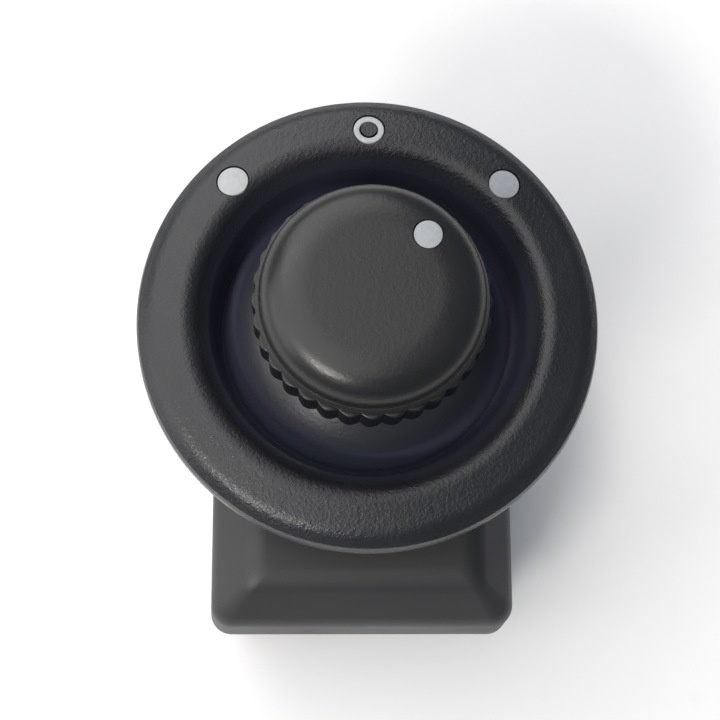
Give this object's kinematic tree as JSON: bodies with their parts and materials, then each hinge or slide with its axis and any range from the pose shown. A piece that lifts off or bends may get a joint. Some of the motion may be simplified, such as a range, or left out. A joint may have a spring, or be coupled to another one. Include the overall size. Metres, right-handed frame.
{
  "type": "rotary joystick selector switch",
  "caption": "Small panel control: round bezel on a rectangular housing, with a knob that turns between marked positions and tilts as a sprung joystick.",
  "frame": {"origin": "on the flat underside of the lower cover, on the knob's axis", "axes": "+Z along the knob's axis, from the underside to the knob; +Y towards the off position's mark; the housing reaches further along -Y"},
  "size_m": [0.038, 0.0438, 0.042],
  "materials": {
    "housing_plastic": "smooth satin black moulding",
    "bezel_plastic": "fine leather-grained black moulding",
    "knob_plastic": "fine-textured black moulding, satin",
    "mark_plastic": "light grey inlay, satin",
    "inner_plastic": "natural acetal, as moulded",
    "board": "green solder mask over glass laminate",
    "rubber": "grey silicone, matt",
    "steel": "zinc-plated steel",
    "contact_metal": "gold-flashed copper alloy"
  },
  "bodies": {
    "base": {"housing": "housing_plastic", "lower_cover": "housing_plastic", "bezel": "bezel_plastic", "mark_left": "mark_plastic", "mark_off_ring": "mark_plastic", "mark_right": "mark_plastic", "circuit_board": "board", "dome_mat": "rubber", "return_spring": "steel", "detent_spring": "steel", "connector_pin_1": "contact_metal", "connector_pin_2": "contact_metal", "connector_pin_3": "contact_metal", "connector_pin_4": "contact_metal", "connector_pin_5": "contact_metal", "connector_pin_6": "contact_metal", "connector_pin_7": "contact_metal", "connector_pin_8": "contact_metal", "cover_screw_1": "steel", "cover_screw_2": "steel", "cover_screw_3": "steel", "cover_screw_4": "steel"},
    "selector": {"rotor": "inner_plastic", "wiper_east": "contact_metal", "wiper_west": "contact_metal"},
    "tilt_ring": {"gimbal_ring": "inner_plastic", "ring_pin_east": "steel", "ring_pin_west": "steel"},
    "joystick": {"joystick_stem": "inner_plastic", "stem_pin_north": "steel", "stem_pin_south": "steel", "actuator_plate": "inner_plastic", "grip_ring": "knob_plastic", "knob_cap": "knob_plastic", "knob_mark": "mark_plastic"}
  },
  "joints": [
    {"name": "selector_turn", "type": "hinge", "parent": "base", "child": "selector", "pos_m": [0, 0, 0.016], "axis": [0, 0, 1], "range_deg": [0, 90], "deforming": ["detent_spring"]},
    {"name": "tilt_up_down", "type": "hinge", "parent": "selector", "child": "tilt_ring", "pos_m": [0, 0, 0.022], "axis": [1, 0, 0], "range_deg": [-7, 7], "stiffness_Nm_per_rad": 0.4, "deforming": ["return_spring", "dome_mat"]},
    {"name": "tilt_left_right", "type": "hinge", "parent": "tilt_ring", "child": "joystick", "pos_m": [0, 0, 0.022], "axis": [0, 1, 0], "range_deg": [-7, 7], "stiffness_Nm_per_rad": 0.4}
  ]
}
